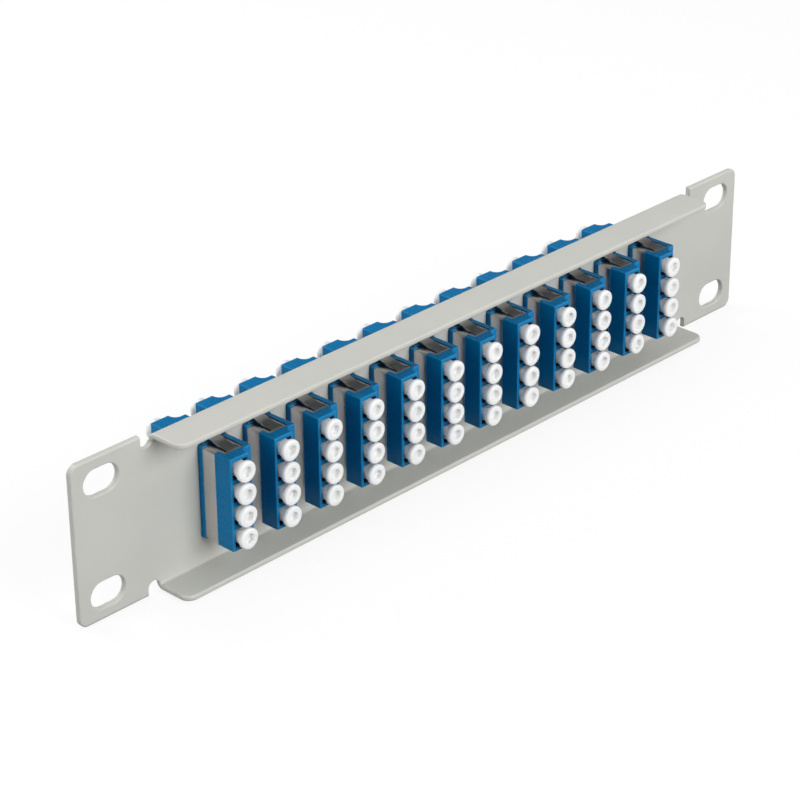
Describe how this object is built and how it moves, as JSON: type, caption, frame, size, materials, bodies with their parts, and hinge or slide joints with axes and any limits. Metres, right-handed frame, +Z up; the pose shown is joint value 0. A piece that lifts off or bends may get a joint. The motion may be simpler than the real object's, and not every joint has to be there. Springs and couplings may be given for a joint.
{
  "type": "fibre patch panel",
  "caption": "Folded steel 10-inch rack panel carrying a row of blue four-port fibre couplers, each held by a spring clip and closed at both ends by white dust caps.",
  "frame": {"origin": "centre of the pattern of four rack slots, on the rear face of the sheet, which bears on the rack rails", "axes": "+X along the panel, +Y to the front of the rack, +Z up; the flanges point to -Y, the rear"},
  "size_m": [0.255, 0.0345, 0.0444],
  "materials": {
    "powder_coated_steel": "light grey powder coat, fine satin texture",
    "blue_housing": "moulded blue plastic, semi-gloss",
    "spring_steel": "plain rolled spring steel",
    "white_cap": "soft white moulded plastic",
    "holder_plastic": "natural moulded plastic",
    "sleeve_ceramic": "ground white ceramic"
  },
  "bodies": {
    "frame": {"panel": "powder_coated_steel", "coupler_housing_01": "blue_housing", "spring_clip_01": "spring_steel", "coupler_housing_02": "blue_housing", "spring_clip_02": "spring_steel", "coupler_housing_03": "blue_housing", "spring_clip_03": "spring_steel", "coupler_housing_04": "blue_housing", "spring_clip_04": "spring_steel", "coupler_housing_05": "blue_housing", "spring_clip_05": "spring_steel", "coupler_housing_06": "blue_housing", "spring_clip_06": "spring_steel", "coupler_housing_07": "blue_housing", "spring_clip_07": "spring_steel", "coupler_housing_08": "blue_housing", "spring_clip_08": "spring_steel", "coupler_housing_09": "blue_housing", "spring_clip_09": "spring_steel", "coupler_housing_10": "blue_housing", "spring_clip_10": "spring_steel", "coupler_housing_11": "blue_housing", "spring_clip_11": "spring_steel", "coupler_housing_12": "blue_housing", "spring_clip_12": "spring_steel", "sleeve_holders_row_1": "holder_plastic", "alignment_sleeves_row_1": "sleeve_ceramic", "sleeve_holders_row_2": "holder_plastic", "alignment_sleeves_row_2": "sleeve_ceramic", "sleeve_holders_row_3": "holder_plastic", "alignment_sleeves_row_3": "sleeve_ceramic", "sleeve_holders_row_4": "holder_plastic", "alignment_sleeves_row_4": "sleeve_ceramic"},
    "rear_caps_01": {"rear_dust_caps_01": "white_cap"},
    "front_caps_01": {"front_dust_caps_01": "white_cap"},
    "rear_caps_02": {"rear_dust_caps_02": "white_cap"},
    "front_caps_02": {"front_dust_caps_02": "white_cap"},
    "rear_caps_03": {"rear_dust_caps_03": "white_cap"},
    "front_caps_03": {"front_dust_caps_03": "white_cap"},
    "rear_caps_04": {"rear_dust_caps_04": "white_cap"},
    "front_caps_04": {"front_dust_caps_04": "white_cap"},
    "rear_caps_05": {"rear_dust_caps_05": "white_cap"},
    "front_caps_05": {"front_dust_caps_05": "white_cap"},
    "rear_caps_06": {"rear_dust_caps_06": "white_cap"},
    "front_caps_06": {"front_dust_caps_06": "white_cap"},
    "rear_caps_07": {"rear_dust_caps_07": "white_cap"},
    "front_caps_07": {"front_dust_caps_07": "white_cap"},
    "rear_caps_08": {"rear_dust_caps_08": "white_cap"},
    "front_caps_08": {"front_dust_caps_08": "white_cap"},
    "rear_caps_09": {"rear_dust_caps_09": "white_cap"},
    "front_caps_09": {"front_dust_caps_09": "white_cap"},
    "rear_caps_10": {"rear_dust_caps_10": "white_cap"},
    "front_caps_10": {"front_dust_caps_10": "white_cap"},
    "rear_caps_11": {"rear_dust_caps_11": "white_cap"},
    "front_caps_11": {"front_dust_caps_11": "white_cap"},
    "rear_caps_12": {"rear_dust_caps_12": "white_cap"},
    "front_caps_12": {"front_dust_caps_12": "white_cap"}
  },
  "joints": [
    {"name": "rear_caps_01_pull", "type": "slide", "parent": "frame", "child": "rear_caps_01", "axis": [0, -1, 0], "range_m": [0, 0.009]},
    {"name": "front_caps_01_pull", "type": "slide", "parent": "frame", "child": "front_caps_01", "axis": [0, 1, 0], "range_m": [0, 0.009]},
    {"name": "rear_caps_02_pull", "type": "slide", "parent": "frame", "child": "rear_caps_02", "axis": [0, -1, 0], "range_m": [0, 0.009]},
    {"name": "front_caps_02_pull", "type": "slide", "parent": "frame", "child": "front_caps_02", "axis": [0, 1, 0], "range_m": [0, 0.009]},
    {"name": "rear_caps_03_pull", "type": "slide", "parent": "frame", "child": "rear_caps_03", "axis": [0, -1, 0], "range_m": [0, 0.009]},
    {"name": "front_caps_03_pull", "type": "slide", "parent": "frame", "child": "front_caps_03", "axis": [0, 1, 0], "range_m": [0, 0.009]},
    {"name": "rear_caps_04_pull", "type": "slide", "parent": "frame", "child": "rear_caps_04", "axis": [0, -1, 0], "range_m": [0, 0.009]},
    {"name": "front_caps_04_pull", "type": "slide", "parent": "frame", "child": "front_caps_04", "axis": [0, 1, 0], "range_m": [0, 0.009]},
    {"name": "rear_caps_05_pull", "type": "slide", "parent": "frame", "child": "rear_caps_05", "axis": [0, -1, 0], "range_m": [0, 0.009]},
    {"name": "front_caps_05_pull", "type": "slide", "parent": "frame", "child": "front_caps_05", "axis": [0, 1, 0], "range_m": [0, 0.009]},
    {"name": "rear_caps_06_pull", "type": "slide", "parent": "frame", "child": "rear_caps_06", "axis": [0, -1, 0], "range_m": [0, 0.009]},
    {"name": "front_caps_06_pull", "type": "slide", "parent": "frame", "child": "front_caps_06", "axis": [0, 1, 0], "range_m": [0, 0.009]},
    {"name": "rear_caps_07_pull", "type": "slide", "parent": "frame", "child": "rear_caps_07", "axis": [0, -1, 0], "range_m": [0, 0.009]},
    {"name": "front_caps_07_pull", "type": "slide", "parent": "frame", "child": "front_caps_07", "axis": [0, 1, 0], "range_m": [0, 0.009]},
    {"name": "rear_caps_08_pull", "type": "slide", "parent": "frame", "child": "rear_caps_08", "axis": [0, -1, 0], "range_m": [0, 0.009]},
    {"name": "front_caps_08_pull", "type": "slide", "parent": "frame", "child": "front_caps_08", "axis": [0, 1, 0], "range_m": [0, 0.009]},
    {"name": "rear_caps_09_pull", "type": "slide", "parent": "frame", "child": "rear_caps_09", "axis": [0, -1, 0], "range_m": [0, 0.009]},
    {"name": "front_caps_09_pull", "type": "slide", "parent": "frame", "child": "front_caps_09", "axis": [0, 1, 0], "range_m": [0, 0.009]},
    {"name": "rear_caps_10_pull", "type": "slide", "parent": "frame", "child": "rear_caps_10", "axis": [0, -1, 0], "range_m": [0, 0.009]},
    {"name": "front_caps_10_pull", "type": "slide", "parent": "frame", "child": "front_caps_10", "axis": [0, 1, 0], "range_m": [0, 0.009]},
    {"name": "rear_caps_11_pull", "type": "slide", "parent": "frame", "child": "rear_caps_11", "axis": [0, -1, 0], "range_m": [0, 0.009]},
    {"name": "front_caps_11_pull", "type": "slide", "parent": "frame", "child": "front_caps_11", "axis": [0, 1, 0], "range_m": [0, 0.009]},
    {"name": "rear_caps_12_pull", "type": "slide", "parent": "frame", "child": "rear_caps_12", "axis": [0, -1, 0], "range_m": [0, 0.009]},
    {"name": "front_caps_12_pull", "type": "slide", "parent": "frame", "child": "front_caps_12", "axis": [0, 1, 0], "range_m": [0, 0.009]}
  ]
}
